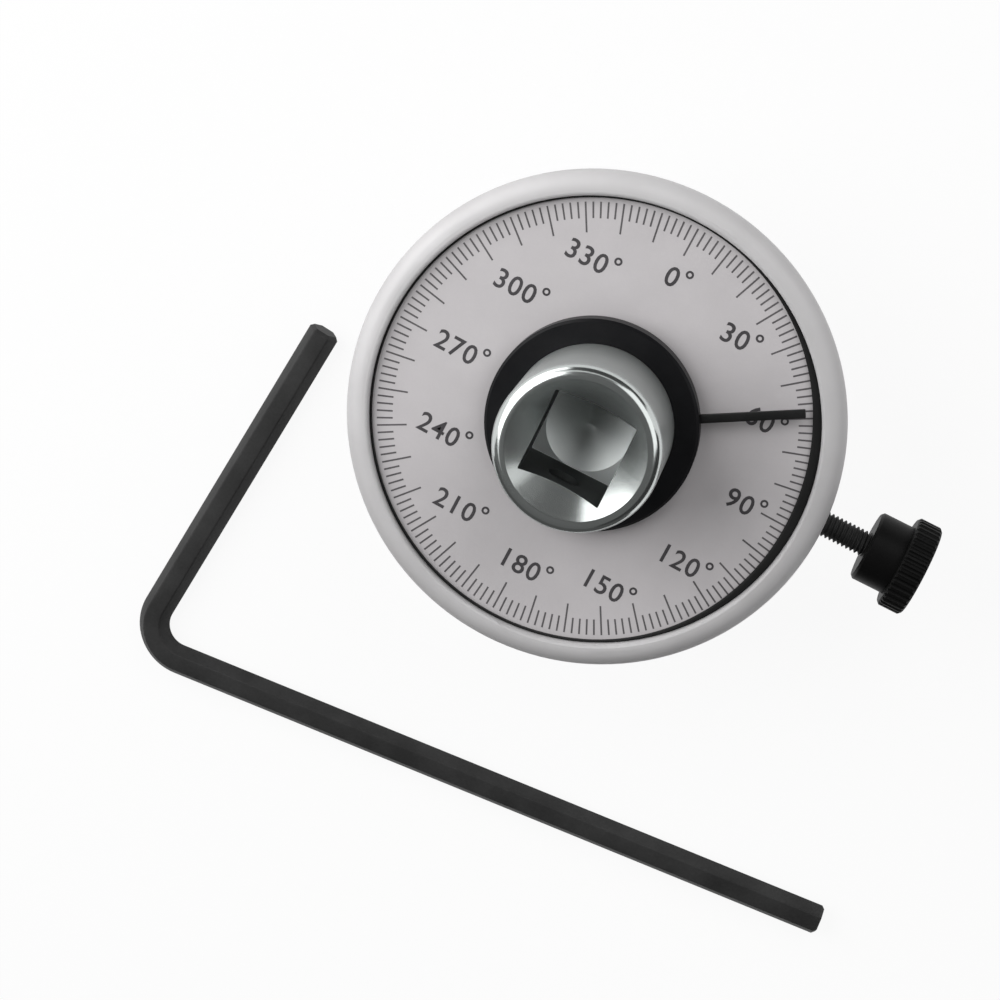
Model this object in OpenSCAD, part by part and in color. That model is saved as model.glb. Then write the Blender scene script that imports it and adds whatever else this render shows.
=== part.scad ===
// Torque angle gauge: a spindle with a female and a male drive square turns a pointer over a fixed dial.
// Millimetres. The gauge stands on the end of its male square at z = 0, with +Z along the spindle.
// The clamp screw is at +X, and the zero of the printed scale is 2 degrees clockwise of +Y.

/* [Drive] */
// Male square across flats
male_af = 12.65; // [9:0.05:20]
// Length of the male square
male_length = 16; // [10:0.5:30]
// Bevel at the tip of the male square
male_bevel = 1.2; // [0.4:0.1:3]
// Diameter that eases the corners of the male square
male_corner_d = 16.7; // [12:0.1:26]
// Female square across flats
female_af = 12.8; // [9:0.05:20]
// Depth of the female square
female_depth = 16.5; // [10:0.5:30]
// Diameter that eases the corners of the female square
female_corner_d = 17.9; // [12:0.1:28]
// Diameter of the cone at the mouth of the female square
mouth_d = 20.6; // [16:0.1:32]
// Diameter of the socket head
head_d = 24.6; // [22:0.1:40]
// Height of the socket head over the dial
head_rise = 22; // [16:0.5:40]
// Rounding of the socket head's front edge
head_edge_r = 1.8; // [0.3:0.1:2]
// Bevel at the foot of the socket head
shoulder_bevel = 0.4; // [0.1:0.1:1]
// Diameter of the spindle in its bush
journal_d = 18; // [17:0.5:20]
// Length of journal left bare between the casing and the male square
neck_length = 2; // [1:0.5:6]

/* [Detent] */
// Diameter of the detent ball
ball_d = 5; // [3:0.1:7]
// How far the ball stands out of the male square
ball_proud = 0.9; // [0.4:0.1:1.5]
// Distance of the ball from the tip of the male square
ball_from_tip = 8; // [5:0.5:12]
// Wire of the spring behind the ball
spring_wire_d = 0.6; // [0.3:0.05:1]
// How far the spring's closed coils sink into each other
spring_lap = 0.06; // [0.02:0.01:0.12]
// Coils of the spring behind the ball
spring_coils = 6; // [4:1:10]
// Depth of the catches in the female square's walls
catch_depth = 0.9; // [0.4:0.1:1.5]
// Distance of the catches from the socket head's front
catch_from_front = 9; // [6:0.5:14]

/* [Casing] */
// Diameter of the casing
casing_d = 75; // [70:1:100]
// Thickness of the casing
casing_thickness = 15; // [14:0.5:24]
// Rounding of the casing's front edge
casing_edge_r = 2.7; // [1:0.1:3]
// Rounding of the casing's back edge
back_edge_r = 2; // [0.5:0.1:4]
// Lean of the casing's side towards the back, in degrees
side_draft = 11.25; // [0:0.25:20]
// Width of the rim round the dial
rim_width = 3.7; // [2:0.1:6]
// Rounding of the rim's inner edge
rim_lip_r = 0.6; // [0.2:0.1:1.5]
// Depth of the dial under the rim
dial_sink = 1.8; // [1.2:0.1:4]
// Inner radius of the relief in the back
relief_inner_r = 16.5; // [15:0.1:19]
// Outer radius of the relief in the back
relief_outer_r = 23.5; // [20:0.1:24.5]
// Depth of the relief in the back
relief_depth = 7; // [2:0.5:9]
// Ribs across the relief
relief_ribs = 6; // [3:1:12]
// Thickness of a rib
rib_thickness = 2.4; // [1:0.1:4]

/* [Dial] */
// Thickness of the dial plate
dial_thickness = 1; // [0.5:0.1:2]
// Gap between the dial plate's hole and the thrust washer
dial_hole_gap = 0.4; // [0.1:0.1:1.5]
// Width of the black ring that holds the dial plate
ring_width = 0.9; // [0.5:0.1:2]
// Height of the black ring that holds the dial plate
ring_height = 0.7; // [0.3:0.1:1.2]

/* [Bearing] */
// Wall of the bush
bush_wall = 2; // [1:0.1:2.5]
// Thickness of the thrust washer
thrust_thickness = 1; // [0.5:0.1:2]
// Diameter of the thrust washer
thrust_d = 26.8; // [24:0.1:30]
// Thickness of the flat washer
flat_thickness = 1; // [0.5:0.1:2]
// Diameter of the flat washer
flat_d = 28; // [24:0.5:30]
// Thickness of the disc spring's sheet
disc_sheet = 0.6; // [0.3:0.1:1]
// Height of the disc spring's cone
disc_cone = 0.4; // [0.2:0.1:1]
// Diameter of the disc spring
disc_d = 27; // [22:0.5:30]
// Thickness of the circlip
clip_thickness = 1.2; // [0.8:0.1:2]
// Depth of the circlip's groove
clip_groove_depth = 0.5; // [0.3:0.1:0.6]
// Width of the circlip opposite its gap
clip_width = 2.4; // [1.5:0.1:3]
// Width of the circlip's gap
clip_gap = 5; // [3:0.5:8]
// Diameter of the holes in the circlip's ears
clip_hole_d = 1.7; // [1:0.1:2]
// Wall round the holes in the circlip's ears
clip_ear_wall = 0.75; // [0.4:0.05:1.2]
// Distance of the circlip inside the casing's back
clip_sink = 0.6; // [0:0.1:2]

/* [Pointer] */
// Diameter of the pointer's hub
hub_d = 32; // [30:0.5:40]
// Thickness of the pointer's hub
hub_thickness = 3.2; // [2.8:0.1:5]
// Bevel of the hub's upper edge
hub_bevel = 0.4; // [0.1:0.1:1]
// Direction of the pointer, clockwise from +Y
pointer_angle = 60; // [0:1:359]
// Width of the needle
needle_width = 1.3; // [0.6:0.1:3]
// Thickness of the needle
needle_thickness = 0.8; // [0.4:0.1:1.5]
// Length of the needle inside the hub
needle_root = 0.8; // [0.5:0.1:1.8]
// Gap between the needle's tip and the dial's black ring
needle_tip_gap = 1; // [0.3:0.1:4]
// Thickness of the rubber ring inside the hub
grip_d = 1.5; // [1:0.1:1.7]

/* [Clamp] */
// Diameter of the clamp stud
stud_d = 3.9; // [3:0.1:5]
// Height of the stud's axis over the casing's back
clamp_height = 4.6; // [4:0.1:9]
// Distance between the stud's tip and the rod's hole
stud_tip_gap = 0.3; // [0.1:0.1:2]
// Length of bare stud between the casing's widest circle and the knob
stud_reach = 7.4; // [2:0.1:20]
// Distance of the rod's hole from the spindle's axis
rod_hole_x = 28; // [27.5:0.1:29.5]
// Diameter of the knob's collar
collar_d = 11; // [7:0.1:13]
// Length of the knob's collar
collar_length = 5.3; // [3:0.1:12]
// Diameter of the knob's knurled head
knob_d = 14.5; // [13.5:0.1:24]
// Thickness of the knob's knurled head
knob_thickness = 3.9; // [2.5:0.1:6]
// Bevel of the knob's edges
knob_bevel = 0.4; // [0.1:0.1:0.8]
// Flutes round the knob's head
knob_flutes = 40; // [12:1:60]
// Radius of a flute
flute_r = 0.4; // [0.2:0.05:0.8]
// Thickness of the knob's head beyond the end of the stud
knob_end_wall = 1.4; // [0.6:0.1:2]

/* [Rod] */
// Rod across flats
rod_af = 4.5; // [3:0.1:6]
// Length of the rod's short leg, from the corner of its centre lines
rod_short = 62; // [30:1:120]
// Length of the rod's long leg, from the corner of its centre lines
rod_long = 121; // [60:1:200]
// Angle between the legs
rod_angle = 79; // [60:1:120]
// Radius of the bend's centre line
rod_bend_r = 6.2; // [4:0.1:20]
// How far the bend stands over the legs, where the bar swells
rod_swell = 0.04; // [0.02:0.01:0.2]
// Bevel at the rod's ends
rod_bevel = 0.5; // [0.2:0.1:1]
// Place of the rod's corner as it lies beside the gauge, along X
rod_x = -52; // [-120:0.5:-48]
// Place of the rod's corner as it lies beside the gauge, along Y
rod_y = -74.5; // [-120:0.5:-60]
// Direction of the rod's long leg
rod_direction = 5; // [-20:1:30]

/* [Fits] */
// Radial clearance of a shaft in its hole
running_fit = 0.03; // [0.01:0.01:0.1]
// Radial clearance of the stud in its threaded hole
thread_fit = 0.05; // [0.01:0.01:0.1]
// Clearance round pieces that are set in a pocket
pocket_fit = 0.1; // [0.02:0.01:0.3]
// Axial play of the turning pieces
axial_play = 0.05; // [0.02:0.01:0.2]
// Clearance round the rod in its hole
rod_fit = 0.2; // [0.05:0.05:0.5]
// Gap between the pointer's hub and the dial
hub_gap = 0.3; // [0.1:0.1:1]

/* [Hidden] */
$fn = 96;

// overlap that lets a cut run clear of a face
cut = 1;

// levels from the surface upwards
back_z = male_length + neck_length;
front_z = back_z + casing_thickness;
dial_z = front_z - dial_sink;
recess_z = dial_z - dial_thickness;
front_hub_z = recess_z - thrust_thickness;
disc_height = disc_sheet + disc_cone;
clip_z = back_z + clip_sink;
disc_z = clip_z + clip_thickness + axial_play;
flat_z = disc_z + disc_height;
back_hub_z = flat_z + flat_thickness;
shoulder_z = recess_z + axial_play;
head_z = dial_z + head_rise;
hub_z = dial_z + hub_gap;
needle_z = hub_z + (hub_thickness - needle_thickness) / 2;
clamp_z = back_z + clamp_height;
ball_z = ball_from_tip;

// radii
casing_r = casing_d / 2;
recess_r = casing_r - rim_width;
journal_r = journal_d / 2;
bore_r = journal_r + running_fit;
bush_r = bore_r + bush_wall;
pocket_r = max(flat_d, disc_d) / 2 + pocket_fit;
head_r = head_d / 2;
hub_bore_r = head_r + running_fit;
groove_r = journal_r - clip_groove_depth;
needle_tip_r = recess_r - ring_width - needle_tip_gap;
rod_r = rod_af / sqrt(3);
rod_hole_r = rod_r + rod_fit;

// places along the clamp's axis
stud_tip_x = rod_hole_x + rod_hole_r + stud_tip_gap;
collar_x = casing_r + stud_reach;
knob_x = collar_x + collar_length;
knob_end_x = knob_x + knob_thickness;
stud_end_x = knob_end_x - knob_end_wall;

// places along the detent's axis
ball_x = male_af / 2 + ball_proud - ball_d / 2;
spring_pitch = spring_wire_d - spring_lap;
spring_length = spring_pitch * (spring_coils - 1) + spring_wire_d;
spring_x = ball_x - ball_d / 2 - axial_play - spring_length;

// the rod's bend
rod_tangent = rod_bend_r / tan(rod_angle / 2);
// length of leg inside the swollen bend
rod_lap = 4 * rod_swell;

// colours
alloy = [0.80, 0.80, 0.81];
paint = [0.74, 0.73, 0.74];
bronze = [0.66, 0.50, 0.30];
steel = [0.62, 0.63, 0.65];
chrome = [0.72, 0.74, 0.74];
black = [0.05, 0.05, 0.05];
rubber = [0.08, 0.08, 0.08];

// Solid ring between two radii and two heights
module tube(r_in, r_out, z_low, z_high) {
  translate([0, 0, z_low])
    linear_extrude(z_high - z_low)
      difference() {
        circle(r_out);
        circle(r_in);
      }
}

// Half section of the casing: both outer edges rounded, the side leaning in towards the back
module casing_section() {
  lean = [cos(side_draft), -sin(side_draft)];
  front = [casing_r - casing_edge_r, front_z - casing_edge_r];
  side_top = front + casing_edge_r * lean;
  side_low_z = back_z + back_edge_r * (1 - sin(side_draft));
  side_low = [side_top[0] - (side_top[1] - side_low_z) * tan(side_draft), side_low_z];
  back = side_low - back_edge_r * lean;
  polygon([[0, back_z], [back[0], back_z], side_low, side_top, [front[0], front_z], [0, front_z]]);
  translate(front)
    circle(casing_edge_r);
  translate(back)
    circle(back_edge_r);
}

// Half section of the socket head: its front edge rounded, its foot bevelled
module head_section() {
  height = head_z - shoulder_z;
  polygon([[0, 0], [head_r - shoulder_bevel, 0], [head_r, shoulder_bevel], [head_r, height - head_edge_r],
           [head_r - head_edge_r, height], [0, height]]);
  translate([head_r - head_edge_r, height - head_edge_r])
    circle(head_edge_r);
}

// Corner that is cut away to round the inner edge of the rim
module lip_cut() {
  difference() {
    translate([recess_r - cut, front_z - rim_lip_r])
      square([rim_lip_r + cut, rim_lip_r + cut]);
    translate([recess_r + rim_lip_r, front_z - rim_lip_r])
      circle(rim_lip_r);
  }
}

// Square with its corners eased by a circle
module eased_square(af, corner_d) {
  intersection() {
    square(af, center = true);
    circle(d = corner_d);
  }
}

// Hole along +X at the clamp's height
module along_x(x_low, x_high, r, z) {
  translate([x_low, 0, z])
    rotate([0, 90, 0])
      cylinder(h = x_high - x_low, r = r);
}

// Ring-shaped relief in the casing's back, crossed by ribs
module back_relief() {
  difference() {
    tube(relief_inner_r, relief_outer_r, back_z - cut, back_z + relief_depth);
    for (i = [0 : relief_ribs - 1])
      rotate([0, 0, 360 / relief_ribs * (i + 0.5)])
        translate([0, -rib_thickness / 2, back_z - 2 * cut])
          cube([casing_r, rib_thickness, relief_depth + 3 * cut]);
  }
}

module casing() {
  color(alloy)
    difference() {
      rotate_extrude()
        difference() {
          casing_section();
          translate([0, recess_z])
            square([recess_r, casing_thickness]);
          lip_cut();
          translate([0, front_hub_z])
            square([thrust_d / 2 + pocket_fit, casing_thickness]);
          translate([0, back_z - cut])
            square([bush_r, casing_thickness]);
          translate([0, back_z - cut])
            square([pocket_r, back_hub_z - back_z + cut]);
        }
      back_relief();
      translate([rod_hole_x, casing_r + cut, clamp_z])
        rotate([90, 0, 0])
          cylinder(h = casing_d + 2 * cut, r = rod_hole_r);
      along_x(rod_hole_x, casing_r + cut, stud_d / 2 + thread_fit, clamp_z);
    }
}

module dial_plate() {
  color(paint)
    tube(thrust_d / 2 + dial_hole_gap, recess_r - pocket_fit, recess_z, dial_z);
}

module dial_ring() {
  color(black)
    tube(recess_r - ring_width, recess_r - running_fit, dial_z, dial_z + ring_height);
}

module bush() {
  color(bronze)
    tube(bore_r, bush_r, back_hub_z, front_hub_z);
}

module thrust_washer() {
  color(bronze)
    tube(bore_r + pocket_fit, thrust_d / 2, front_hub_z, recess_z);
}

module flat_washer() {
  color(steel)
    tube(bore_r + pocket_fit, flat_d / 2, flat_z, back_hub_z);
}

// Conical spring washer: its inner edge bears on the circlip, its outer edge on the flat washer
module disc_spring() {
  disc_inner_r = bore_r + 2 * pocket_fit;
  color(steel)
    translate([0, 0, disc_z])
      rotate_extrude()
        polygon([[disc_inner_r, 0], [disc_d / 2, disc_cone],
                 [disc_d / 2, disc_height], [disc_inner_r, disc_sheet]]);
}

// Outside ring with a gap and two ears for pliers
module circlip() {
  clip_r = groove_r + running_fit;
  ear_r = clip_hole_d / 2 + clip_ear_wall;
  ear_y = clip_gap / 2 + ear_r;
  ear_x = clip_r + ear_r;
  color(steel)
    translate([0, 0, clip_z])
      linear_extrude(clip_thickness)
        difference() {
          union() {
            difference() {
              translate([-clip_width / 4, 0])
                circle(clip_r + clip_width * 3 / 4);
              translate([0, -clip_gap / 2])
                square([casing_r, clip_gap]);
            }
            for (side = [-1, 1])
              translate([ear_x, side * ear_y])
                circle(ear_r);
          }
          circle(clip_r);
          for (side = [-1, 1])
            translate([ear_x, side * ear_y])
              circle(d = clip_hole_d);
        }
}

// Male square: bevelled at the tip, its corners eased
module male_square() {
  corner_r = male_corner_d / 2;
  tip_r = male_af / 2 - male_bevel / 2;
  intersection() {
    linear_extrude(back_z)
      eased_square(male_af, male_corner_d);
    rotate_extrude()
      polygon([[0, 0], [tip_r, 0], [corner_r, corner_r - tip_r], [corner_r, back_z], [0, back_z]]);
  }
}

// Mouth cone, square broach, its pilot hole and the four catches for a ratchet's ball
module female_square() {
  floor_z = head_z - female_depth;
  mouth_r = mouth_d / 2;
  catch_x = female_af / 2 + catch_depth;
  translate([0, 0, floor_z])
    linear_extrude(female_depth + cut)
      eased_square(female_af, female_corner_d);
  translate([0, 0, head_z - mouth_r])
    cylinder(h = mouth_r + cut, r1 = 0, r2 = mouth_r + cut);
  translate([0, 0, floor_z - female_af / 4])
    cylinder(h = female_af / 4, r1 = 0, r2 = female_af / 2);
  for (turn = [0, 90])
    rotate([0, 0, turn])
      along_x(-catch_x, catch_x, ball_d / 2, head_z - catch_from_front);
}

module drive_spindle() {
  color(chrome)
    difference() {
      union() {
        male_square();
        translate([0, 0, male_length])
          cylinder(h = shoulder_z - male_length, r = journal_r);
        translate([0, 0, shoulder_z])
          rotate_extrude()
            head_section();
      }
      tube(groove_r, journal_r + cut, clip_z - axial_play, clip_z + clip_thickness + axial_play);
      female_square();
      along_x(spring_x - axial_play, male_af, ball_d / 2 + running_fit, ball_z);
    }
}

module detent_ball() {
  color(steel)
    translate([ball_x, 0, ball_z])
      sphere(d = ball_d);
}

// Close coils, drawn as one turned piece
module detent_spring() {
  mean_r = ball_d / 2 - spring_wire_d;
  color(steel)
    translate([spring_x, 0, ball_z])
      rotate([0, 90, 0])
        rotate_extrude()
          for (i = [0 : spring_coils - 1])
            translate([mean_r, spring_wire_d / 2 + i * spring_pitch])
              circle(d = spring_wire_d);
}

// Needle's outline, grown by a clearance to cut its slot in the hub
module needle_bar(grow, tip_r) {
  root_r = hub_d / 2 - needle_root;
  rotate([0, 0, 90 - pointer_angle])
    translate([root_r - grow, -needle_width / 2 - grow, needle_z - grow])
      cube([tip_r - root_r + grow, needle_width + 2 * grow, needle_thickness + 2 * grow]);
}

module pointer_hub() {
  grip_room = grip_d + 2 * pocket_fit;
  color(black)
    difference() {
      translate([0, 0, hub_z])
        rotate_extrude()
          difference() {
            polygon([[hub_bore_r, 0], [hub_d / 2, 0], [hub_d / 2, hub_thickness - hub_bevel],
                     [hub_d / 2 - hub_bevel, hub_thickness], [hub_bore_r, hub_thickness]]);
            translate([0, (hub_thickness - grip_room) / 2])
              square([hub_bore_r + grip_room - pocket_fit, grip_room]);
          }
      needle_bar(running_fit, hub_d);
    }
}

module pointer_needle() {
  color(black)
    needle_bar(0, needle_tip_r);
}

module grip_ring() {
  color(rubber)
    translate([0, 0, hub_z + hub_thickness / 2])
      rotate_extrude()
        translate([hub_bore_r + grip_d / 2, 0])
          circle(d = grip_d);
}

module clamp_stud() {
  tip_bevel = stud_d / 8;
  color(black)
    translate([stud_tip_x, 0, clamp_z])
      rotate([0, 90, 0])
        rotate_extrude()
          polygon([[0, 0], [stud_d / 2 - tip_bevel, 0], [stud_d / 2, tip_bevel],
                   [stud_d / 2, stud_end_x - stud_tip_x], [0, stud_end_x - stud_tip_x]]);
}

// Half section of the knob, from its collar's face outwards
module knob_section() {
  length = collar_length + knob_thickness;
  polygon([[stud_d / 2 + running_fit, 0], [collar_d / 2 - knob_bevel, 0], [collar_d / 2, knob_bevel],
           [collar_d / 2, collar_length], [knob_d / 2 - knob_bevel, collar_length],
           [knob_d / 2, collar_length + knob_bevel], [knob_d / 2, length - knob_bevel],
           [knob_d / 2 - knob_bevel, length], [0, length], [0, length - knob_end_wall + axial_play],
           [stud_d / 2 + running_fit, length - knob_end_wall + axial_play]]);
}

module thumb_knob() {
  color(black)
    translate([collar_x, 0, clamp_z])
      rotate([0, 90, 0])
        difference() {
          rotate_extrude()
            knob_section();
          for (i = [0 : knob_flutes - 1])
            rotate([0, 0, 360 / knob_flutes * i])
              translate([knob_d / 2 + flute_r / 4, 0, collar_length - cut])
                cylinder(h = knob_thickness + 2 * cut, r = flute_r, $fn = 24);
        }
}

// Straight leg along +X, from just inside the swollen bend to its bevelled end
module rod_leg(leg) {
  start = rod_tangent - rod_lap;
  length = leg - start;
  translate([start, 0, 0])
    rotate([90, 0, 90])
      intersection() {
        linear_extrude(length)
          circle(rod_r, $fn = 6);
        rotate_extrude()
          polygon([[0, 0], [rod_r + cut, 0], [rod_r + cut, length - rod_bevel - cut],
                   [rod_r - rod_bevel, length], [0, length]]);
      }
}

module reaction_rod() {
  color(black)
    translate([rod_x, rod_y, rod_af / 2 + rod_swell])
      rotate([0, 0, rod_direction]) {
        rod_leg(rod_long);
        rotate([0, 0, rod_angle])
          rod_leg(rod_short);
        translate([rod_tangent, rod_bend_r, 0])
          rotate([0, 0, rod_angle - 270])
            rotate_extrude(angle = 180 - rod_angle)
              translate([rod_bend_r, 0])
                circle(rod_r + rod_swell, $fn = 6);
      }
}

casing();
dial_plate();
dial_ring();
bush();
thrust_washer();
flat_washer();
disc_spring();
circlip();
drive_spindle();
detent_ball();
detent_spring();
pointer_hub();
pointer_needle();
grip_ring();
clamp_stud();
thumb_knob();
reaction_rod();
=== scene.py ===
# %% [markdown]
# # A torque angle gauge
# The gauge sits between a ratchet and a socket and shows through how many degrees a bolt has turned.
# Its solids come from model.glb. This lesson dresses them: it prints the dial, cuts the
# thread, rounds the rod, gives every piece its finish and sets a camera above the lot.

# %% Load the imported part
import math

import bmesh
import bpy
from mathutils import Matrix, Vector


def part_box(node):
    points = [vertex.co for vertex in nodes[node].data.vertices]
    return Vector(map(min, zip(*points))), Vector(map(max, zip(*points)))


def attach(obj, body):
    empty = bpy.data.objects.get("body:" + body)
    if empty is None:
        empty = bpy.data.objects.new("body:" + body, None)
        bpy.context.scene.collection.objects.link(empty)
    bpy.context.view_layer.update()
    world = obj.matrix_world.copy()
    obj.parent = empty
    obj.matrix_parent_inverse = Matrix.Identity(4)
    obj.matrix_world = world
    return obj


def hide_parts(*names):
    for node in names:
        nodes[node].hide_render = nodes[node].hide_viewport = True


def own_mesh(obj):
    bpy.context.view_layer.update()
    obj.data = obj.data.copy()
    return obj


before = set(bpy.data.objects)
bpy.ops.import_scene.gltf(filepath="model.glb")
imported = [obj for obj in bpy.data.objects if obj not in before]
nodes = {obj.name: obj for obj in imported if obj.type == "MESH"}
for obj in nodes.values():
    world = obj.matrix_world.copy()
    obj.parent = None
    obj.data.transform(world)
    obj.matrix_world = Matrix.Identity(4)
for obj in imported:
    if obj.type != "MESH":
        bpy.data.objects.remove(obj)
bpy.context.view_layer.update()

scene = bpy.context.scene
MM = 0.001
print("pieces from the packer:", ", ".join(sorted(nodes)))

# %% [markdown]
# ## Camera
# The photograph looks down on the dial, about 15 degrees off the spindle's axis, with the picture
# turned so that the zero mark points up and to the right. A camera could be aimed by a constraint, but
# its roll is then awkward to set. Here a few numbers that a photographer would use set it: what it faces,
# from which side, how steeply, how far off, how far rolled, and how far it slides to frame the picture.

# %% Place the camera
LENS_MM = 104.2
CAMERA_SIDE = math.radians(171.74)
CAMERA_STEEPNESS = math.radians(75)
CAMERA_ROLL = math.radians(-145.29)
CAMERA_DISTANCE = 430.1 * MM
CAMERA_SLIDE = Vector((-13.91, -11.62)) * MM
dial_centre = Vector((0, 0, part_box("dial_plate")[1].z))

level = Vector((math.cos(CAMERA_SIDE), math.sin(CAMERA_SIDE), 0))
outward = Vector((math.sin(CAMERA_SIDE), -math.cos(CAMERA_SIDE), 0))
to_camera = outward * math.cos(CAMERA_STEEPNESS) + Vector((0, 0, math.sin(CAMERA_STEEPNESS)))
turn = Matrix.Rotation(CAMERA_ROLL, 3, to_camera)
picture_right = turn @ level
picture_up = turn @ to_camera.cross(level)
place = dial_centre + CAMERA_DISTANCE * to_camera
place += CAMERA_SLIDE.x * picture_right + CAMERA_SLIDE.y * picture_up

camera = bpy.data.objects.new("camera", bpy.data.cameras.new("camera"))
camera.data.lens = LENS_MM
camera_axes = Matrix((picture_right, picture_up, to_camera)).transposed()
camera.matrix_world = Matrix.Translation(place) @ camera_axes.to_4x4()
scene.collection.objects.link(camera)
scene.camera = camera
print("camera at", [round(value / MM) for value in place], "mm")

# %% [markdown]
# ## Node arithmetic
# Finishes and Geometry Nodes are both graphs, and much of a graph is arithmetic. Every Math node could be
# added and linked by hand, which takes four lines for one sum. Wrapping a socket in a small class lets the
# arithmetic be written as Python. Every other node comes from one method, so a graph reads from top to
# bottom like a recipe.


# %% A socket that can be added and multiplied
class Wire:
    """One output socket. Arithmetic on it adds Math nodes to its graph."""

    def __init__(self, graph, socket):
        self.graph = graph
        self.socket = socket

    def math(self, operation, other=0.0):
        return self.graph.node("ShaderNodeMath", {"operation": operation}, {0: self, 1: other})

    def __add__(self, other):
        return self.math("ADD", other)

    def __sub__(self, other):
        return self.math("SUBTRACT", other)

    def __mul__(self, other):
        return self.math("MULTIPLY", other)

    def __truediv__(self, other):
        return self.math("DIVIDE", other)

    def __rsub__(self, other):
        return self.graph.node("ShaderNodeMath", {"operation": "SUBTRACT"}, {0: other, 1: self})

    __radd__ = __add__
    __rmul__ = __mul__

    def rise(self, start, end):
        """Goes from 0 to 1 while the value goes from start to end."""
        share = (self - start) / (end - start)
        return share.math("MAXIMUM", 0.0).math("MINIMUM", 1.0)

    def fall(self, start, end):
        """Goes from 1 to 0 while the value goes from start to end."""
        return 1 - self.rise(start, end)


print("sockets can be added, subtracted, multiplied and divided")


# %% A graph that nodes are added to
class Graph:
    """A node tree, and the method that adds a node to it."""

    def __init__(self, tree):
        self.tree = tree

    def node(self, kind, settings, inputs, output=0):
        """Adds a node: its settings first, then the values or links of its sockets."""
        made = self.tree.nodes.new(kind)
        for name, value in settings.items():
            if name == "stops":
                self.set_stops(made.color_ramp, value)
            else:
                setattr(made, name, value)
        for socket, value in inputs.items():
            self.feed(made.inputs[socket], value)
        return Wire(self, made.outputs[output])

    def set_stops(self, ramp, stops):
        while len(ramp.elements) < len(stops):
            ramp.elements.new(0.5)
        for element, (position, colour) in zip(ramp.elements, stops):
            element.position = position
            element.color = (*colour, 1)

    def feed(self, socket, value):
        """Links a wire to a socket, or sets the socket's own value."""
        if isinstance(value, Wire):
            self.tree.links.new(value.socket, socket)
        else:
            socket.default_value = value


print("graph helpers ready")

# %% [markdown]
# ## What a finish is made of
# A finish is one Principled shader fed by patterns. Turned metal carries its pattern on polar
# coordinates, so that the tool's marks run round the spindle, and moulded and painted surfaces use plain
# soft noise. Photographs of metal could be wrapped round the pieces, but noise needs no unwrapping and is
# as fine on a washer as on the casing. Values that are the same all over are set on the shader itself.

# %% A material with patterns
MEAN_RADIUS = 10 * MM
LONG_RINGS = (1, 0.03, 1)


class Finish(Graph):
    """A material with one Principled shader. Constants are given by the shader's socket names."""

    def __init__(self, name, **constants):
        self.material = bpy.data.materials.new(name)
        self.material.use_nodes = True
        super().__init__(self.material.node_tree)
        self.shader = self.tree.nodes["Principled BSDF"]
        self.set(**constants)
        self.place = self.node("ShaderNodeTexCoord", {}, {}, "Object")

    def set(self, **inputs):
        """Feeds the Principled shader. An underscore stands for a space in a socket's name."""
        for socket, value in inputs.items():
            self.feed(self.shader.inputs[socket.replace("_", " ")], value)
        return self.material

    def noise(self, scale, detail=3.0, stretch=(1, 1, 1), place=None):
        """Soft random pattern, from 0 to 1. A stretch above 1 makes it finer along that axis."""
        where = self.node("ShaderNodeMapping", {}, {"Vector": place or self.place, "Scale": stretch})
        return self.node("ShaderNodeTexNoise", {}, {"Vector": where, "Scale": scale, "Detail": detail})

    def ramp(self, factor, *stops):
        return self.node("ShaderNodeValToRGB", {"stops": stops}, {"Fac": factor})

    def blend(self, share, first, second):
        """The first colour where the share is 0, the second where it is 1."""
        return self.node("ShaderNodeMixRGB", {}, {"Fac": share, "Color1": first, "Color2": second})

    def bump(self, height, depth, strength=0.3):
        """Bends the surface's normal by a height pattern. The depth is in metres."""
        sockets = {"Height": height, "Strength": strength, "Distance": depth}
        return self.node("ShaderNodeBump", {}, sockets, "Normal")

    def axis(self, name):
        return self.node("ShaderNodeSeparateXYZ", {}, {0: self.place}, name)

    def radius(self):
        """Distance from the spindle's axis."""
        flattened = {0: self.place, 1: (1, 1, 0)}
        flat_place = self.node("ShaderNodeVectorMath", {"operation": "MULTIPLY"}, flattened)
        return self.node("ShaderNodeVectorMath", {"operation": "LENGTH"}, {0: flat_place}, "Value")

    def lathe_rings(self, scale):
        """Noise on radius, way round and height, drawn out long round the spindle's axis."""
        angle = self.axis("Y").math("ARCTAN2", self.axis("X"))
        parts = {0: self.radius(), 1: angle * MEAN_RADIUS, 2: self.axis("Z")}
        polar = self.node("ShaderNodeCombineXYZ", {}, parts)
        return self.noise(scale, 2, LONG_RINGS, polar)


print("finish helper ready")

# %% [markdown]
# ## Metal finishes
# The casing is light alloy under a thin silver lacquer, so it is only a little metallic. The bush and the
# thrust washer are bronze, and the flat washer, clip, ball and springs are ground steel. They are turned or
# ground round one axis. Each could have a material of its own, but they differ only in tone and gloss, so
# one function makes them: fine rings bend the normal, and soft clouds shift the tone and the gloss a little.

# %% Turned alloy, bronze and steel
ROUGH_SPREAD = 0.06
CLOUD_SCALE = 120
LATHE_SCALE = 4000
LATHE_DEPTH = 2e-6


def turned_metal(name, light, dark, roughness, metallic=1.0):
    """Metal with the fine rings that a lathe or a polishing wheel leaves round the spindle's axis."""
    finish = Finish(name, Metallic=metallic)
    rings = finish.lathe_rings(LATHE_SCALE)
    cloud = finish.noise(CLOUD_SCALE)
    colour = finish.ramp(cloud, (0.3, dark), (0.7, light))
    rough = roughness + (cloud + rings - 1) * ROUGH_SPREAD
    return finish.set(Base_Color=colour, Roughness=rough, Normal=finish.bump(rings, LATHE_DEPTH))


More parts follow.
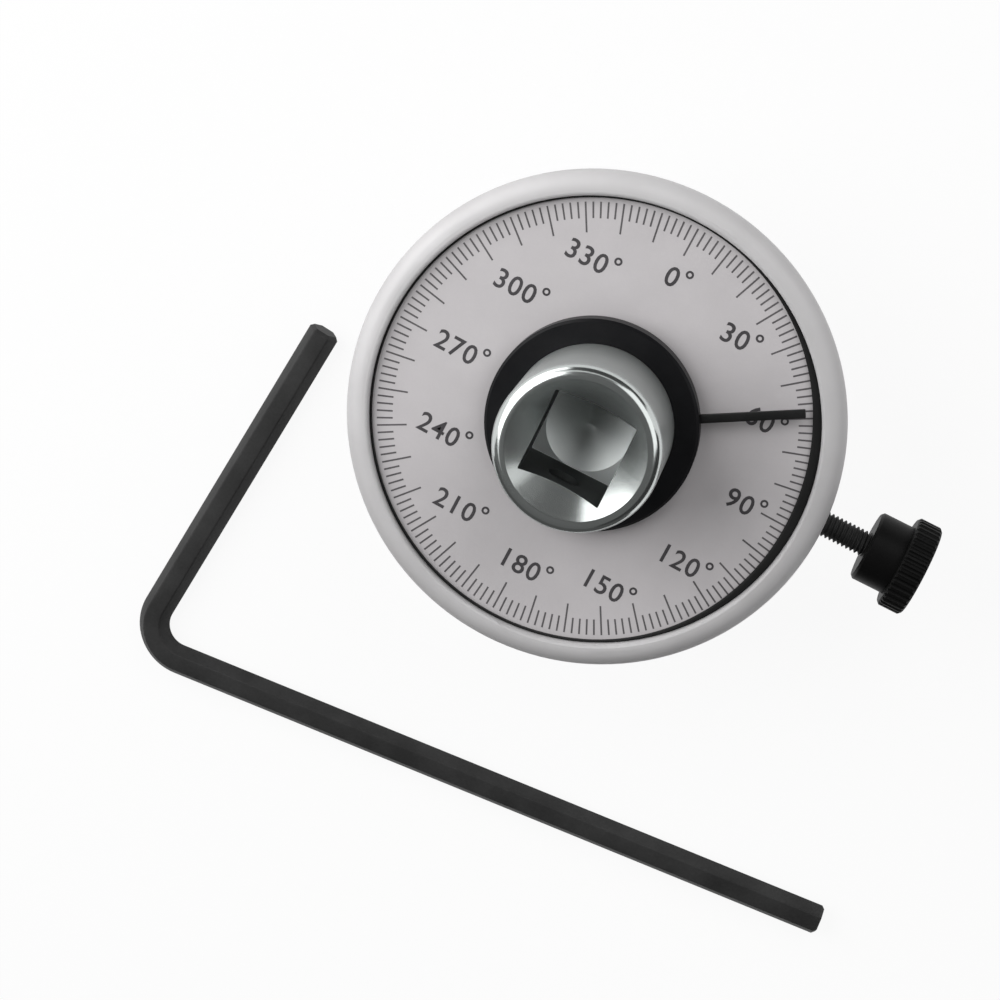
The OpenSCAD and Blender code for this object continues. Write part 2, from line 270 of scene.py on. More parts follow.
alloy = turned_metal("lacquered_alloy", (0.61, 0.60, 0.605), (0.57, 0.56, 0.565), 0.60, metallic=0.2)
bronze = turned_metal("turned_bronze", (0.55, 0.38, 0.19), (0.44, 0.29, 0.13), 0.30)
steel = turned_metal("ground_steel", (0.60, 0.61, 0.62), (0.48, 0.49, 0.50), 0.26)
print("metal finishes:", ", ".join(material.name for material in (alloy, bronze, steel)))

# %% [markdown]
# ## The spindle's zones
# The spindle is one piece with several finishes. Its lip and mouth are bright chrome and the turned wall of
# the head is satin. The male square is the same chrome, made rougher and painted darker as shade near the
# sheet. In the broached square the floor is painted bright, as light falling into the hole, and the walls
# are rougher and painted near black, as shade deep in the hole. The piece could be cut up, with a material
# for each part. Masks keep it whole: each is worked out from a point's radius and height, and is 1 inside
# its zone and 0 outside it.

# %% Masks for the spindle's zones
MOUTH_RADIUS = 10.3 * MM
SOCKET_RADIUS = 9.1 * MM
SOCKET_DEPTH = 16.5 * MM
DRILL_DEPTH = 3.7 * MM
LIP_HEIGHT = 1.6 * MM
WALL_START, WALL_FULL = 10.7 * MM, 11.4 * MM
TAIL_FULL, TAIL_END = 17.5 * MM, 18.5 * MM
EDGE = 0.1 * MM


def spindle_zones(finish):
    """Masks by the names of their zones."""
    radius = finish.radius()
    height = finish.axis("Z")
    head_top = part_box("drive_spindle")[1].z
    floor_level = head_top - SOCKET_DEPTH
    drill_tip = floor_level - DRILL_DEPTH
    mouth_line = MOUTH_RADIUS - head_top
    below_lip = height.fall(head_top - LIP_HEIGHT, head_top - LIP_HEIGHT / 2)
    below_mouth = (radius - height).rise(mouth_line + EDGE / 2, mouth_line + 2 * EDGE)
    above_floor = height.rise(floor_level, floor_level + EDGE)
    above_tip = height.rise(drill_tip, drill_tip + 3 * EDGE)
    inside = radius.fall(SOCKET_RADIUS - EDGE, SOCKET_RADIUS) * above_tip
    return {
        "wall": radius.rise(WALL_START, WALL_FULL) * below_lip,
        "tail": height.fall(TAIL_FULL, TAIL_END),
        "mouth": radius.fall(MOUTH_RADIUS - EDGE, MOUTH_RADIUS),
        "inside": inside,
        "socket_floor_painted_light": inside * (1 - above_floor),
        "socket_wall_painted_shade": inside * above_floor * below_mouth,
    }


print("socket mouth is", round(2 * MOUTH_RADIUS / MM, 1), "mm across")


# %% Chrome with a satin wall and a dark socket
BRIGHT = ((0.54, 0.57, 0.56), (0.60, 0.63, 0.62))
ZONE_COLOURS = {
    # painted shade: the socket's walls are painted near black, as shade deep in the square hole
    "socket_wall_painted_shade": ((0.06, 0.065, 0.063), (0.09, 0.097, 0.095)),
    # painted light: the socket's floor is painted brighter than the chrome, as light falling to the bottom
    # of the hole
    "socket_floor_painted_light": ((0.86, 0.90, 0.89), (0.92, 0.96, 0.95)),
    # painted shade: the male square is painted darker than the chrome, as shade near the sheet it stands on
    "tail": ((0.32, 0.33, 0.33), (0.38, 0.39, 0.39)),
}
ZONE_ROUGHNESS = {"wall": 0.20, "mouth": 0.08, "socket_floor_painted_light": 0.26, "socket_wall_painted_shade": 0.40, "tail": 0.10}
POLISHED = 0.12
POLISH_SCALE = 3000
POLISH_DEPTH = 1e-6
POLISH_SPREAD = 0.08
MOUTH_DULLNESS = 0.08
WALL_DULLNESS = 0.30
WALL_COVER = 0.6


def spindle_chrome():
    finish = Finish("tool_chrome")
    zones = spindle_zones(finish)
    rings = finish.lathe_rings(POLISH_SCALE)
    cloud = finish.noise(CLOUD_SCALE)
    colour = finish.ramp(cloud, (0.3, BRIGHT[0]), (0.7, BRIGHT[1]))
    for zone, (dark, light) in ZONE_COLOURS.items():
        colour = finish.blend(zones[zone], colour, finish.ramp(cloud, (0.3, dark), (0.7, light)))
    rough = POLISHED + rings * POLISH_SPREAD
    for zone, more in ZONE_ROUGHNESS.items():
        rough += zones[zone] * more
    metallic = 1 - zones["mouth"] * MOUTH_DULLNESS - zones["wall"] * WALL_DULLNESS
    marks = rings * (1 - zones["inside"]) * (1 - zones["wall"] * WALL_COVER)
    normal = finish.bump(marks, POLISH_DEPTH)
    return finish.set(Base_Color=colour, Roughness=rough, Metallic=metallic, Normal=normal)


chrome = spindle_chrome()
print("spindle finish has", len(chrome.node_tree.nodes), "nodes")

# %% [markdown]
# ## Paint, ink, plastic and blacking
# The dial plate is sprayed a warm grey and printed in black. The pointer and the knob are moulded, the
# needle is painted, and the rod and the stud are blacked in a hot bath, which leaves a thin cloudy skin.
# A flat colour would look like a drawing. All of these skins have soft clouds of tone and a fine grain, so
# one function makes them, and only the tone, the gloss and the size of the grain change.

# %% Painted, printed and moulded surfaces
SKIN_CLOUD_SCALE = 160
GRAIN_SHARE = 0.25


def grained(name, light, dark, roughness, gloss, grain_scale=3000, grain_depth=3e-6):
    """Non-metal skin with soft clouds of tone and a fine grain."""
    finish = Finish(name, Specular_IOR_Level=gloss)
    grain = finish.noise(grain_scale)
    cloud = finish.noise(SKIN_CLOUD_SCALE, 4)
    tone = cloud * (1 - GRAIN_SHARE) + grain * GRAIN_SHARE
    colour = finish.ramp(tone, (0.35, dark), (0.65, light))
    rough = roughness + (cloud + grain - 1) * ROUGH_SPREAD
    return finish.set(Base_Color=colour, Roughness=rough, Normal=finish.bump(grain, grain_depth))


def grey(tone):
    return (tone, tone, tone)


face_paint = grained("face_paint", (0.59, 0.566, 0.576), (0.56, 0.537, 0.547), 0.45, 0.3)
number_ink = grained("number_ink", (0.075, 0.070, 0.075), (0.050, 0.047, 0.050), 0.50, 0.3)
mark_ink = grained("mark_ink", (0.130, 0.122, 0.127), (0.095, 0.090, 0.094), 0.50, 0.3)
hub_black = grained("hub_black", (0.009, 0.009, 0.010), (0.005, 0.005, 0.006), 0.40, 0.15, 3000, 6e-6)
needle_paint = grained("needle_paint", grey(0.012), grey(0.007), 0.45, 0.25, 3000, 5e-6)
ring_rubber = grained("ring_rubber", grey(0.010), grey(0.006), 0.55, 0.25, 2500, 6e-6)
knob_black = grained("knob_black", grey(0.005), grey(0.003), 0.45, 0.12, 2800, 8e-6)
black_oxide = grained("black_oxide", grey(0.038), grey(0.022), 0.55, 0.2, 2200, 8e-6)
print("skins made, and", len(bpy.data.materials), "materials in the file")

# %% [markdown]
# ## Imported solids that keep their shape
# The casing, the spindle, the hub, the knob and the bearing pieces already have the shape of the real
# ones. They could be built again here, but then two models would have to agree, so they only get a finish.
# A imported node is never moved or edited: filling its material slots is all that it needs.

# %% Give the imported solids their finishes
KEPT_FINISHES = {
    "casing": alloy,
    "dial_plate": face_paint,
    "drive_spindle": chrome,
    "detent_ball": steel,
    "circlip": steel,
    "flat_washer": steel,
    "disc_spring": steel,
    "bush": bronze,
    "thrust_washer": bronze,
    "grip_ring": ring_rubber,
    "pointer_hub": hub_black,
    "thumb_knob": knob_black,
}
for name, material in KEPT_FINISHES.items():
    mesh = nodes[name].data
    mesh.materials.clear()
    mesh.materials.append(material)
print("kept solids:", ", ".join(KEPT_FINISHES))

# %% [markdown]
# ## Mounting a new piece
# A new piece is a mesh at the origin. It rides on the body that carries it and, where it stands for a
# imported solid, hides that solid. Every new piece needs these same steps, so they are one function.


# %% Mount a finished mesh on its body
def mount(mesh, name, body, material, replaced=(), sharp=35):
    """Makes the object, smooths it up to an angle and parents it to its body's empty."""
    piece = bpy.data.objects.new(name, mesh)
    scene.collection.objects.link(piece)
    mesh.materials.clear()
    mesh.materials.append(material)
    mesh.polygons.foreach_set("use_smooth", [True] * len(mesh.polygons))
    mesh.set_sharp_from_angle(angle=math.radians(sharp))
    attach(piece, body)
    if replaced:
        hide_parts(*replaced)
    print(f"{name}: {len(mesh.polygons)} faces on {body}")
    return piece


# %% Turn a drawn or calculated shape into a plain mesh
def closed_mesh(name, bm):
    """Merges doubles, turns the faces outwards and returns a mesh."""
    bmesh.ops.remove_doubles(bm, verts=bm.verts, dist=1e-7)
    bmesh.ops.recalc_face_normals(bm, faces=bm.faces)
    mesh = bpy.data.meshes.new(name)
    bm.to_mesh(mesh)
    bm.free()
    return mesh


def frozen(holder):
    """Works out an object's modifiers or text, keeps the result as a mesh and removes the object."""
    scene.collection.objects.link(holder)
    evaluated = holder.evaluated_get(bpy.context.evaluated_depsgraph_get())
    mesh = bpy.data.meshes.new_from_object(evaluated)
    bpy.data.objects.remove(holder)
    return mesh


print("mesh helpers ready")

# %% [markdown]
# ## Recipes in Geometry Nodes
# What repeats or follows a path is made by Geometry Nodes. A recipe is a tree with named inputs. It could
# stay on the piece as a live modifier, but a plain mesh is safer to pose and to export. So it is run once
# on an empty object, its result is kept, and the modifier is thrown away with the object.

# %% A Geometry Nodes tree with named inputs
SOCKETS = {int: "NodeSocketInt", float: "NodeSocketFloat", bpy.types.Material: "NodeSocketMaterial"}


class Recipe(Graph):
    """Geometry Nodes tree. Its inputs are named, with the values to run it with."""

    def __init__(self, name, **inputs):
        super().__init__(bpy.data.node_groups.new(name, "GeometryNodeTree"))
        self.values = {}
        for label, value in inputs.items():
            kind = SOCKETS[type(value)]
            socket = self.tree.interface.new_socket(label, in_out="INPUT", socket_type=kind)
            self.values[socket.identifier] = value
        self.tree.interface.new_socket("Geometry", in_out="OUTPUT", socket_type="NodeSocketGeometry")
        given = self.tree.nodes.new("NodeGroupInput")
        self.given = {label: Wire(self, given.outputs[label]) for label in inputs}

    def vector(self, x=0.0, y=0.0, z=0.0):
        return self.node("ShaderNodeCombineXYZ", {}, {0: x, 1: y, 2: z})

    def run(self, geometry, material):
        """Ends the tree, runs it and returns a plain mesh."""
        whole = self.node("GeometryNodeRealizeInstances", {}, {0: geometry})
        skin = {"Geometry": whole, "Material": self.given[material]}
        coated = self.node("GeometryNodeSetMaterial", {}, skin)
        self.feed(self.tree.nodes.new("NodeGroupOutput").inputs[0], coated)
        holder = bpy.data.objects.new(self.tree.name, bpy.data.meshes.new("holder"))
        modifier = holder.modifiers.new("recipe", "NODES")
        modifier.node_group = self.tree
        for identifier, value in self.values.items():
            modifier[identifier] = value
        return frozen(holder)


print("recipes ready")

# %% [markdown]
# ## Marks on the dial
# The scale has a short mark every two degrees and a long one every ten. Stripes in the paint's material
# would lose their edges when the material is baked, so the marks are geometry: films of ink, far thinner
# than paper, that stand on the dial plate. Points are set round a circle, a bar is put on each, turned
# towards the centre and stretched to its length.

# %% Print the scale
INK = 0.02 * MM
DIAL_RADIUS = 33.44 * MM
SCALE_RADIUS = 0.980 * DIAL_RADIUS
SHORT_MARK = 0.0725 * DIAL_RADIUS
LONG_MARK = 0.135 * DIAL_RADIUS
MARK_WIDTH = 0.26 * MM
PRINT_TURN = Matrix.Rotation(math.radians(-2), 4, "Z")


def dial_marks():
    recipe = Recipe("dial_marks", count=180, long_every=5, outer_radius=SCALE_RADIUS,
                    short_length=SHORT_MARK, long_length=LONG_MARK, width=MARK_WIDTH,
                    thickness=INK, height=dial_centre.z, ink=mark_ink)
    given = recipe.given
    index = recipe.node("GeometryNodeInputIndex", {}, {})
    angle = index * math.tau / given["count"]
    x = angle.math("SINE") * given["outer_radius"]
    y = angle.math("COSINE") * given["outer_radius"]
    spots = {"Count": given["count"], "Position": recipe.vector(x, y, given["height"])}
    points = recipe.node("GeometryNodePoints", {}, spots)
    size = recipe.vector(given["width"], 1.0, given["thickness"])
    bar = recipe.node("GeometryNodeMeshCube", {}, {"Size": size})
    inward = recipe.vector(0.0, -0.5, given["thickness"] * 0.5)
    bar = recipe.node("GeometryNodeTransform", {}, {"Geometry": bar, "Translation": inward})
    is_long = 1 - index.math("MODULO", given["long_every"]).math("MINIMUM", 1.0)
    length = given["short_length"] + is_long * (given["long_length"] - given["short_length"])
    turned = recipe.node("FunctionNodeEulerToRotation", {}, {0: recipe.vector(0.0, 0.0, 0 - angle)})
    bars = {"Points": points, "Instance": bar, "Rotation": turned,
            "Scale": recipe.vector(1.0, length, 1.0)}
    return recipe.run(recipe.node("GeometryNodeInstanceOnPoints", {}, bars), "ink")


marks_mesh = dial_marks()
marks_mesh.transform(PRINT_TURN)
mount(marks_mesh, "dial_marks", "casing", mark_ink)

# %% [markdown]
# ## Numbers on the dial
# Every thirty degrees has its number, upright as the dial is read. A picture of the numbers would show its
# pixels, while text objects give clean outlines at any size. Each is made a mesh, moved to its place and
# joined to the others. The degree sign is a text of its own, because it stands higher above the digits
# than the typeface would set it, and some numbers are printed a little to the right of their marks.

# %% Outline a text as a film of ink
NUMBER_SIZE = 4.2 * MM
LETTER_SPACING = 1.1
STROKE_SWELL = 0.05 * MM


def text_mesh(words):
    curve = bpy.data.curves.new("words", "FONT")
    curve.body = words
    curve.size = NUMBER_SIZE
    curve.space_character = LETTER_SPACING
    curve.extrude = INK / 2
    curve.offset = STROKE_SWELL
    curve.resolution_u = 4
    return frozen(bpy.data.objects.new("words", curve))


def corners_of(mesh):
    xs = [vertex.co.x for vertex in mesh.vertices]
    ys = [vertex.co.y for vertex in mesh.vertices]
    return Vector((min(xs), min(ys), 0)), Vector((max(xs), max(ys), 0))


print("text is set at", round(NUMBER_SIZE / MM, 1), "mm")


# %% Print the numbers
NUMBER_RADIUS = 24.75 * MM
SIGN_GAP = 0.55 * MM
SIGN_RISE = 0.55 * MM
NUMBER_SHIFTS = {150: 0.9 * MM, 180: 0.8 * MM, 240: 1.6 * MM, 270: 1.5 * MM, 300: 1.8 * MM}


def dial_numbers():
    bm = bmesh.new()
    for degrees in range(0, 360, 30):
        angle = math.radians(degrees)
        spot = Vector((math.sin(angle), math.cos(angle), 0)) * NUMBER_RADIUS
        spot.x += NUMBER_SHIFTS.get(degrees, 0.0)
        spot.z = dial_centre.z + INK / 2
        digits, sign = text_mesh(str(degrees)), text_mesh("\N{DEGREE SIGN}")
        low, high = corners_of(digits)
        sign_low, sign_high = corners_of(sign)
        sign_corner = Vector((high.x + SIGN_GAP - sign_low.x, high.y + SIGN_RISE - sign_high.y, 0))
        digits.transform(Matrix.Translation(spot - (low + high) / 2))
        sign.transform(Matrix.Translation(spot - (low + high) / 2 + sign_corner))
        bm.from_mesh(digits)
        bm.from_mesh(sign)
    return closed_mesh("dial_numbers", bm)


numbers_mesh = dial_numbers()
numbers_mesh.transform(PRINT_TURN)
numbers = mount(numbers_mesh, "dial_numbers", "casing", number_ink)
print("numbers measure", [round(side / MM, 1) for side in numbers.dimensions], "mm")

# %% [markdown]
# ## Ring that holds the dial down
# A thin black ring snaps in at the dial's edge. A bare washer has knife edges that no moulding has, so
# its section is drawn with rounded corners and spun round the spindle's axis. A Screw modifier would do
# the same, but the spin leaves a plain mesh at once.


# %% Spin a rounded section
def rounded_box_section(low, high, radius, steps=5):
    """Corner points of a box in a half section, each corner rounded."""
    corners = [(high[0] - radius, high[1] - radius, 0), (low[0] + radius, high[1] - radius, 90),
               (low[0] + radius, low[1] + radius, 180), (high[0] - radius, low[1] + radius, 270)]
    points = []
    for x, z, start in corners:
        for step in range(steps + 1):
            angle = math.radians(start + 90 * step / steps)
            points.append((x + radius * math.cos(angle), z + radius * math.sin(angle)))
    return points


def spun(name, section, steps=256):
    """Spins a closed half section of (radius, height) points round Z."""
    bm = bmesh.new()
    points = [bm.verts.new((radius, 0, height)) for radius, height in section]
    edges = [bm.edges.new(pair) for pair in zip(points, points[1:] + points[:1])]
    bmesh.ops.spin(bm, geom=points + edges, axis=(0, 0, 1), cent=(0, 0, 0), angle=math.tau, steps=steps)
    return closed_mesh(name, bm)


RING_WIDTH = 0.32 * MM
RING_CORNER = 0.12 * MM
ring_low, ring_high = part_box("dial_ring")
ring_inner = (ring_high.x - RING_WIDTH, ring_low.z)
ring_mesh = spun("snap_ring", rounded_box_section(ring_inner, (ring_high.x, ring_high.z), RING_CORNER))
print("ring spun with", len(ring_mesh.vertices), "points")

# %% [markdown]
# The ring is drawn wider on one side, so the dial's edge is dark over a broad band there. Two circles off
# centre would thicken half of it. A cosine raised to the third power keeps the swelling to that side: each
# point moves inwards by it, and by how near it is to the ring's inner edge, so that the outer edge stays in
# the casing.

# %% Swell one side of the ring
RING_SWELL = 1.2 * MM
RING_SIDE = math.radians(8)
for vertex in ring_mesh.vertices:
    inward = (ring_high.x - vertex.co.xy.length) / RING_WIDTH
    facing = max(0.0, math.cos(math.atan2(vertex.co.y, vertex.co.x) - RING_SIDE))
    vertex.co.xy *= 1 - RING_SWELL * facing ** 3 * inward / vertex.co.xy.length
mount(ring_mesh, "snap_ring", "casing", ring_rubber, ["dial_ring"])

# %% [markdown]
# ## Needle
# The needle is a flat bar, painted black and set in the hub. A Bevel modifier could round it, but one
# bevel in the mesh is enough. It is a box with its edges bevelled, laid along X and then turned to where
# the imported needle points.

# %% Bevel the needle
NEEDLE_ROOT = 15.2 * MM
NEEDLE_TIP = 31.5 * MM
NEEDLE_WIDTH = 1.3 * MM
NEEDLE_BEVEL = 0.12 * MM
needle_low, needle_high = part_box("pointer_needle")
needle_middle = (needle_low + needle_high) / 2
bm = bmesh.new()
bmesh.ops.create_cube(bm, size=1)
bar_size = Vector((NEEDLE_TIP - NEEDLE_ROOT, NEEDLE_WIDTH, needle_high.z - needle_low.z))
bmesh.ops.scale(bm, vec=bar_size, verts=bm.verts)
bmesh.ops.bevel(bm, geom=bm.edges, offset=NEEDLE_BEVEL, segments=3, affect="EDGES", profile=0.5)
needle_mesh = closed_mesh("needle", bm)
needle_turn = Matrix.Rotation(math.atan2(needle_middle.y, needle_middle.x), 4, "Z")
along = Vector(((NEEDLE_ROOT + NEEDLE_TIP) / 2, 0, needle_middle.z))
needle_mesh.transform(needle_turn @ Matrix.Translation(along))
mount(needle_mesh, "needle", "pointer", needle_paint, ["pointer_needle"])

# %% [markdown]
# ## Thread on the clamp stud
# The stud has a fine metric thread. A profile could be swept along a helix, but its ends are hard to
# close. A thread is also a rule: the groove's depth depends on how far along the bar and how far round it
# a point lies. So a cylinder with many rings is bent by that rule, and it stays closed.

# %% Cut the thread
ALONG_X = Matrix.Rotation(math.pi / 2, 4, "Y")
FLANK_SLOPE = 1.5


def threaded_bar(radius, length):
    recipe = Recipe("threaded_bar", sides=48, rings=320, radius=radius, length=length, pitch=0.7 * MM,
                    depth=0.38 * MM, tip_bevel=0.45 * MM, skin=black_oxide)
    given = recipe.given
    bar = recipe.node("GeometryNodeMeshCylinder", {}, {
        "Vertices": given["sides"], "Side Segments": given["rings"], "Radius": given["radius"],
        "Depth": given["length"]})
    place_now = recipe.node("GeometryNodeInputPosition", {}, {})
    x, y, z = (recipe.node("ShaderNodeSeparateXYZ", {}, {0: place_now}, name) for name in "XYZ")
    turns = z / given["pitch"] - y.math("ARCTAN2", x) / math.tau
    flank = 1 - (turns.math("FRACT") * 2 - 1).math("ABSOLUTE")
    groove = ((flank - 0.5) * FLANK_SLOPE + 0.5).math("MAXIMUM", 0.0).math("MINIMUM", 1.0)
    tip_limit = z + given["length"] * 0.5 + given["radius"] - given["tip_bevel"]
    share = (given["radius"] - groove * given["depth"]).math("MINIMUM", tip_limit) / given["radius"]
    moved = {"Geometry": bar, "Position": recipe.vector(x * share, y * share, z)}
    return recipe.run(recipe.node("GeometryNodeSetPosition", {}, moved), "skin")


stud_low, stud_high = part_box("clamp_stud")
stud_mesh = threaded_bar((stud_high.z - stud_low.z) / 2, stud_high.x - stud_low.x)
stud_mesh.transform(Matrix.Translation((stud_low + stud_high) / 2) @ ALONG_X)
mount(stud_mesh, "threaded_stud", "clamp_stud", black_oxide, ["clamp_stud"], sharp=60)

# %% [markdown]
# ## Spring behind the ball
# The ball in the male square is pushed out by a small coil spring. A stack of rings would look much the
# same at rest, but it isn't how a spring is made. A round wire is carried along a spiral instead.

# %% Coil the spring
SPRING_WIRE = 0.22 * MM


def coil_spring(low, high):
    recipe = Recipe("coil_spring", turns=5.0, coil_radius=(high.z - low.z) / 2 - SPRING_WIRE,
                    wire_radius=SPRING_WIRE, height=high.x - low.x - 2 * SPRING_WIRE, skin=steel)
    given = recipe.given
    spiral = {"Resolution": 28, "Rotations": given["turns"], "Start Radius": given["coil_radius"],
              "End Radius": given["coil_radius"], "Height": given["height"]}
    route = recipe.node("GeometryNodeCurveSpiral", {}, spiral)
    wire_section = {"Resolution": 10, "Radius": given["wire_radius"]}
    wire_section = recipe.node("GeometryNodeCurvePrimitiveCircle", {"mode": "RADIUS"}, wire_section)
    swept = {"Curve": route, "Profile Curve": wire_section, "Fill Caps": True}
    return recipe.run(recipe.node("GeometryNodeCurveToMesh", {}, swept), "skin")


spring_low, spring_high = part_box("detent_spring")
spring_foot = (spring_low.x, 0, (spring_low.z + spring_high.z) / 2)
spring_mesh = coil_spring(spring_low, spring_high)
spring_mesh.transform(Matrix.Translation(Vector(spring_foot) + Vector((SPRING_WIRE, 0, 0))) @ ALONG_X)
spring = mount(spring_mesh, "coil_spring", "spindle", steel, ["detent_spring"])
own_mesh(spring)

# %% [markdown]
# ## Reaction rod
# The rod is hexagonal bar, bent once. Two bars and an elbow would show their joins. It is one hexagon with
# softened corners, carried along a route of two legs with a rounded corner. The hexagon shrinks at both
# ends of the route, which bevels them.

# %% Bend the rod
ROD_CORNER = Vector((-52.0, -74.5)) * MM
ROD_DIRECTION = math.radians(5)


def rod_route(recipe, given):
    """Five points along two legs, with the corner between them rounded."""
    index = recipe.node("GeometryNodeInputIndex", {}, {})
    short_reach = index.math("LESS_THAN", 1.5) * (given["short_leg"] - given["bevel"])
    short_reach += index.math("LESS_THAN", 0.5) * given["bevel"]
    long_reach = index.math("GREATER_THAN", 2.5) * (given["long_leg"] - given["bevel"])
    long_reach += index.math("GREATER_THAN", 3.5) * given["bevel"]
    x = long_reach + short_reach * given["angle"].math("COSINE")
    station = recipe.vector(x, short_reach * given["angle"].math("SINE"))
    points = recipe.node("GeometryNodePoints", {}, {"Count": 5, "Position": station})
    route = recipe.node("GeometryNodePointsToCurves", {}, {"Points": points})
    at_corner = index.math("GREATER_THAN", 1.5) * index.math("LESS_THAN", 2.5)
    bend = {"Curve": route, "Count": 24, "Radius": at_corner * given["bend"]}
    route = recipe.node("GeometryNodeFilletCurve", {"mode": "POLY"}, bend)
    return recipe.node("GeometryNodeSetCurveNormal", {"mode": "Z_UP"}, {"Curve": route})


def bent_rod():
    recipe = Recipe("bent_rod", corner_radius=2.6 * MM, softening=0.35 * MM, long_leg=121 * MM,
                    short_leg=62 * MM, angle=math.radians(79), bend=6.2 * MM, bevel=0.5 * MM,
                    skin=black_oxide)
    given = recipe.given
    hexagon = {"Resolution": 6, "Radius": given["corner_radius"]}
    hexagon = recipe.node("GeometryNodeCurvePrimitiveCircle", {"mode": "RADIUS"}, hexagon)
    soft = {"Curve": hexagon, "Count": 5, "Radius": given["softening"]}
    hexagon = recipe.node("GeometryNodeFilletCurve", {"mode": "POLY"}, soft)
    ends = recipe.node("GeometryNodeCurveEndpointSelection", {}, {})
    scale = 1 - ends * (given["bevel"] / given["corner_radius"])
    swept = {"Curve": rod_route(recipe, given), "Profile Curve": hexagon, "Scale": scale,
             "Fill Caps": True}
    return recipe.run(recipe.node("GeometryNodeCurveToMesh", {}, swept), "skin")


bm = bmesh.new()
bm.from_mesh(bent_rod())
rod_mesh = closed_mesh("rod", bm)
rod_low, rod_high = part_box("reaction_rod")
rod_place = Vector((*ROD_CORNER, (rod_low.z + rod_high.z) / 2))
rod_mesh.transform(Matrix.Translation(rod_place) @ Matrix.Rotation(ROD_DIRECTION, 4, "Z"))
rod = mount(rod_mesh, "rod", "reaction_rod", black_oxide, ["reaction_rod"], sharp=20)
print("rod measures", [round(side / MM, 1) for side in rod.dimensions], "mm")

# %% [markdown]
# ## Background and even light
# The gauge lies on white, lit softly from all round. A very bright world would give a white background too,
# but would bleach the dial. So the world is white only to rays that see it directly or in a reflection, and
# lights the gauge with a small share of that.

# %% Set the world
AMBIENT = 0.2
scene.view_settings.view_transform = "Standard"
scene.world = bpy.data.worlds.new("studio")
scene.world.use_nodes = True
sky = Graph(scene.world.node_tree)


def seen_directly(graph):
    """1 for rays from the camera and for reflections, 0 for light that is scattered."""
    rays = graph.tree.nodes.new("ShaderNodeLightPath").outputs
    seen = Wire(graph, rays["Is Camera Ray"]).math("MAXIMUM", Wire(graph, rays["Is Glossy Ray"]))
    return seen.math("MAXIMUM", Wire(graph, rays["Is Transmission Ray"]))


background = sky.tree.nodes["Background"]
background.inputs["Color"].default_value = (1, 1, 1, 1)
sky.feed(background.inputs["Strength"], AMBIENT + seen_directly(sky) * (1 - AMBIENT))
print("world lights with", AMBIENT, "of what the camera sees")

# %% [markdown]
# ## Lamps
# Soft light comes from the left of the picture, and weaker light from the top. Two round soft boxes give
# both. A single sun would cast hard shadows that the photograph doesn't have. The weaker box is hidden from
# reflections, because its image would brighten a part of the chrome mouth that is dark on the real gauge.


# %% Hang two soft boxes
def facing_dial(direction, distance):
    """A place that far from the dial in that direction, turned to face the dial."""
    aim = Vector(direction).normalized()
    facing = aim.to_track_quat("Z", "Y").to_matrix().to_4x4()
    return Matrix.Translation(dial_centre + aim * distance) @ facing


def area_light(name, direction, distance, size, power):
    lamp = bpy.data.lights.new(name, "AREA")
    lamp.shape = "DISK"
    lamp.size = size
    lamp.energy = power
    holder = bpy.data.objects.new(name, lamp)
    holder.matrix_world = facing_dial(direction, distance)
    scene.collection.objects.link(holder)
    return holder


area_light("key", (-1.0, 0.08, 0.90), distance=0.4, size=0.42, power=1.42)
fill = area_light("fill", (0.3, 1.0, 0.90), distance=0.6, size=0.5, power=1.2)
fill.visible_glossy = False

# %% [markdown]
# ## Cards for the chrome
# Chrome has hardly any colour of its own: it shows what stands round it. In an empty white studio it would
# be white all over. Photographers set up dark and bright cards, and so does the next cell. Only reflections
# see them, so that they change neither the light on the dial nor the background.


# %% Set up the cards
def flat_sheet(name, width, length, material):
    """A rectangle in the XY plane, centred on the origin."""
    x, y = width / 2, length / 2
    mesh = bpy.data.meshes.new(name)
    mesh.from_pydata([(-x, -y, 0), (x, -y, 0), (x, y, 0), (-x, y, 0)], [], [(0, 1, 2, 3)])
    mesh.materials.append(material)
    holder = bpy.data.objects.new(name, mesh)
    scene.collection.objects.link(holder)
    return holder


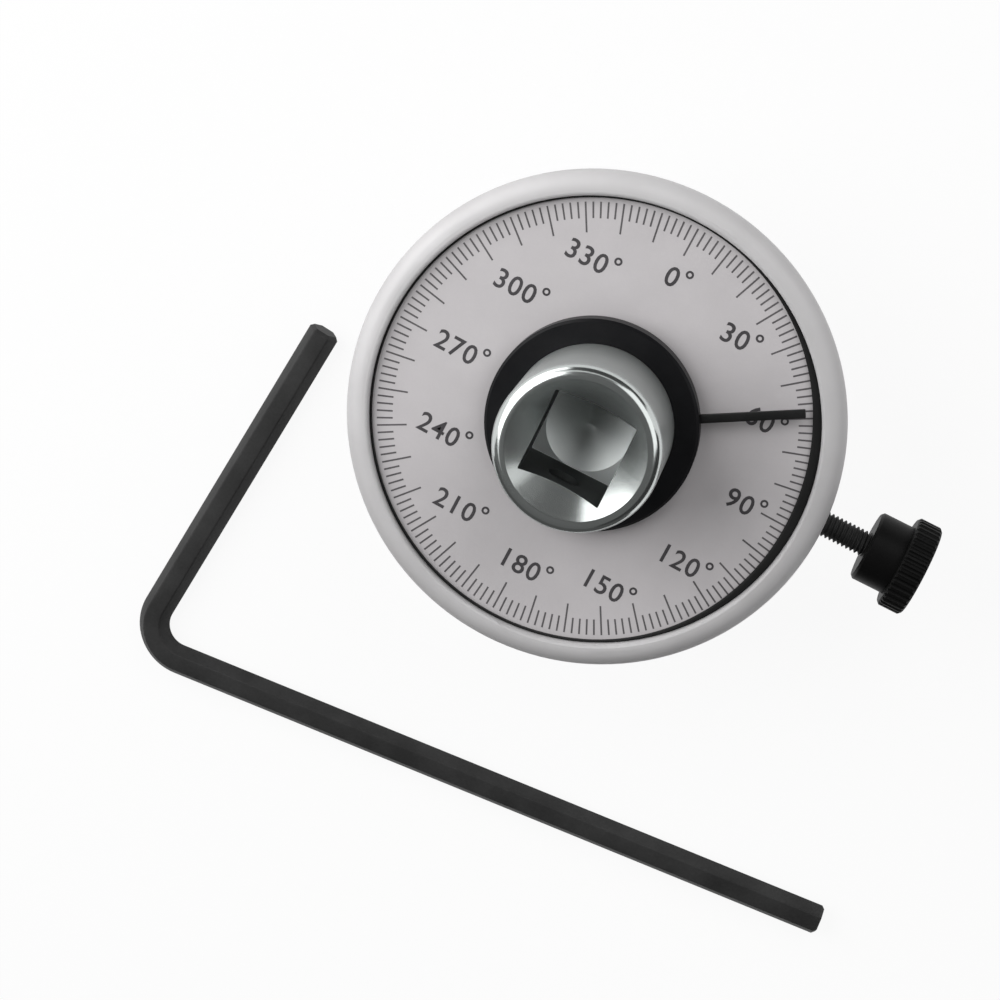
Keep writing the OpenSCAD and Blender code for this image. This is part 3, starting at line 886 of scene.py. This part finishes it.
def card(name, direction, distance, width, height, tone):
    glow = Finish(name, Base_Color=(0, 0, 0, 1), Emission_Color=(*grey(tone), 1),
                  Emission_Strength=1.0, Specular_IOR_Level=0.0)
    holder = flat_sheet(name, width, height, glow.material)
    holder.matrix_world = facing_dial(direction, distance)
    holder.visible_camera = False
    holder.visible_diffuse = False
    holder.visible_shadow = False
    holder.visible_transmission = False


card("card_overhead", (0.2, 0.0, 0.8), distance=0.8, width=1.7, height=1.7, tone=0.16)
card("card_right", (0.9, -0.25, 0.3), distance=0.95, width=1.9, height=0.8, tone=0.05)
card("card_sky", (0.55, 0.55, 0.72), distance=0.75, width=0.7, height=0.5, tone=1.5)
card("card_far", (0.0, 0.95, 0.28), distance=1.0, width=1.5, height=0.8, tone=0.08)
card("card_near", (-0.15, -0.95, 0.45), distance=1.0, width=2.1, height=0.8, tone=0.15)
card("card_cloth", (0.05, -0.95, 0.0), distance=0.095, width=0.24, height=0.1, tone=0.1)
card("card_window", (-0.9, 0.4, 0.13), distance=0.9, width=0.9, height=0.4, tone=2.8)

# %% [markdown]
# ## White sheet
# The gauge lies on a white sheet. Plain white paper would come out grey under this light, so the sheet
# glows to rays that see it directly. A share of its real shading is left in, which keeps the gauge's soft
# shadow.

# %% Lay the white sheet
REACH = 3.0
GLOW_SHARE = 0.92


def sheet_paper():
    finish = Finish("sheet_paper", Roughness=0.9)
    grain = finish.noise(400)
    finish.set(Base_Color=finish.ramp(grain, (0.3, grey(0.90)), (0.7, grey(0.93))))
    glow = finish.node("ShaderNodeEmission", {}, {"Color": (1, 1, 1, 1), "Strength": 1.0})
    paper = Wire(finish, finish.shader.outputs[0])
    shares = {0: seen_directly(finish) * GLOW_SHARE, 1: paper, 2: glow}
    mixed = finish.node("ShaderNodeMixShader", {}, shares)
    finish.feed(finish.tree.nodes["Material Output"].inputs["Surface"], mixed)
    return finish.material


floor = flat_sheet("floor", 2 * REACH, 2 * REACH, sheet_paper())
print("sheet is", 2 * REACH, "m wide")
